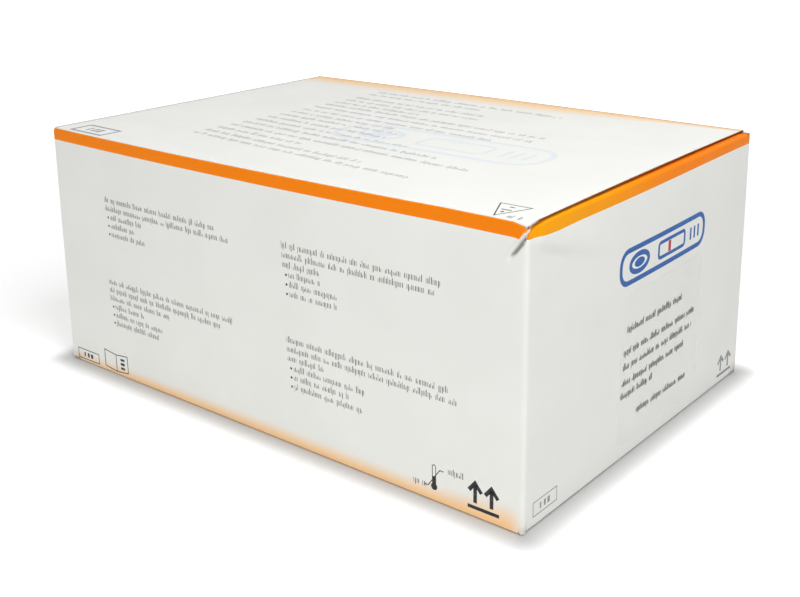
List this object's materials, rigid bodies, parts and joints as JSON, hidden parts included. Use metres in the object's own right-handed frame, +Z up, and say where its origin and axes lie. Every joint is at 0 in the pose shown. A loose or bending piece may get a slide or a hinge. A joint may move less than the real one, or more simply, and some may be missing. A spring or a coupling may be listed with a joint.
{
  "type": "test kit carton",
  "caption": "Closed folding carton of coated board with a hinged tuck lid, holding a row of sealed foil pouches and a folded leaflet.",
  "frame": {"origin": "middle of the carton's underside", "axes": "+X along the carton's length to the end with the label, -Y out of the front long wall, +Z up; the lid's crease is on the +Y side"},
  "size_m": [0.1901, 0.13, 0.083],
  "materials": {
    "coated_board": "white clay-coated board, satin, printed with an orange stripe and fades of peach",
    "print_ink": "flat dark grey and blue printing ink on the board",
    "clear_film": "clear adhesive film, satin",
    "leaflet_paper": "thin uncoated white paper",
    "foil_laminate": "aluminium foil laminate, satin, softly creased"
  },
  "bodies": {
    "root": {"carton_body": "coated_board", "address_label": "clear_film", "package_insert": "leaflet_paper", "pouch_01": "foil_laminate", "pouch_02": "foil_laminate", "pouch_03": "foil_laminate", "pouch_04": "foil_laminate", "pouch_05": "foil_laminate", "pouch_06": "foil_laminate", "pouch_07": "foil_laminate", "pouch_08": "foil_laminate", "pouch_09": "foil_laminate", "pouch_10": "foil_laminate", "pouch_11": "foil_laminate", "pouch_12": "foil_laminate", "pouch_13": "foil_laminate", "pouch_14": "foil_laminate", "pouch_15": "foil_laminate", "pouch_16": "foil_laminate", "pouch_17": "foil_laminate", "pouch_18": "foil_laminate", "pouch_19": "foil_laminate", "pouch_20": "foil_laminate", "pouch_21": "foil_laminate", "pouch_22": "foil_laminate", "pouch_23": "foil_laminate", "pouch_24": "foil_laminate", "pouch_25": "foil_laminate"},
    "lid": {"lid": "coated_board"}
  },
  "joints": [
    {"name": "lid_hinge", "type": "hinge", "parent": "root", "child": "lid", "pos_m": [0, 0.06475, 0.08275], "axis": [-1, 0, 0], "range_deg": [0, 110]}
  ]
}
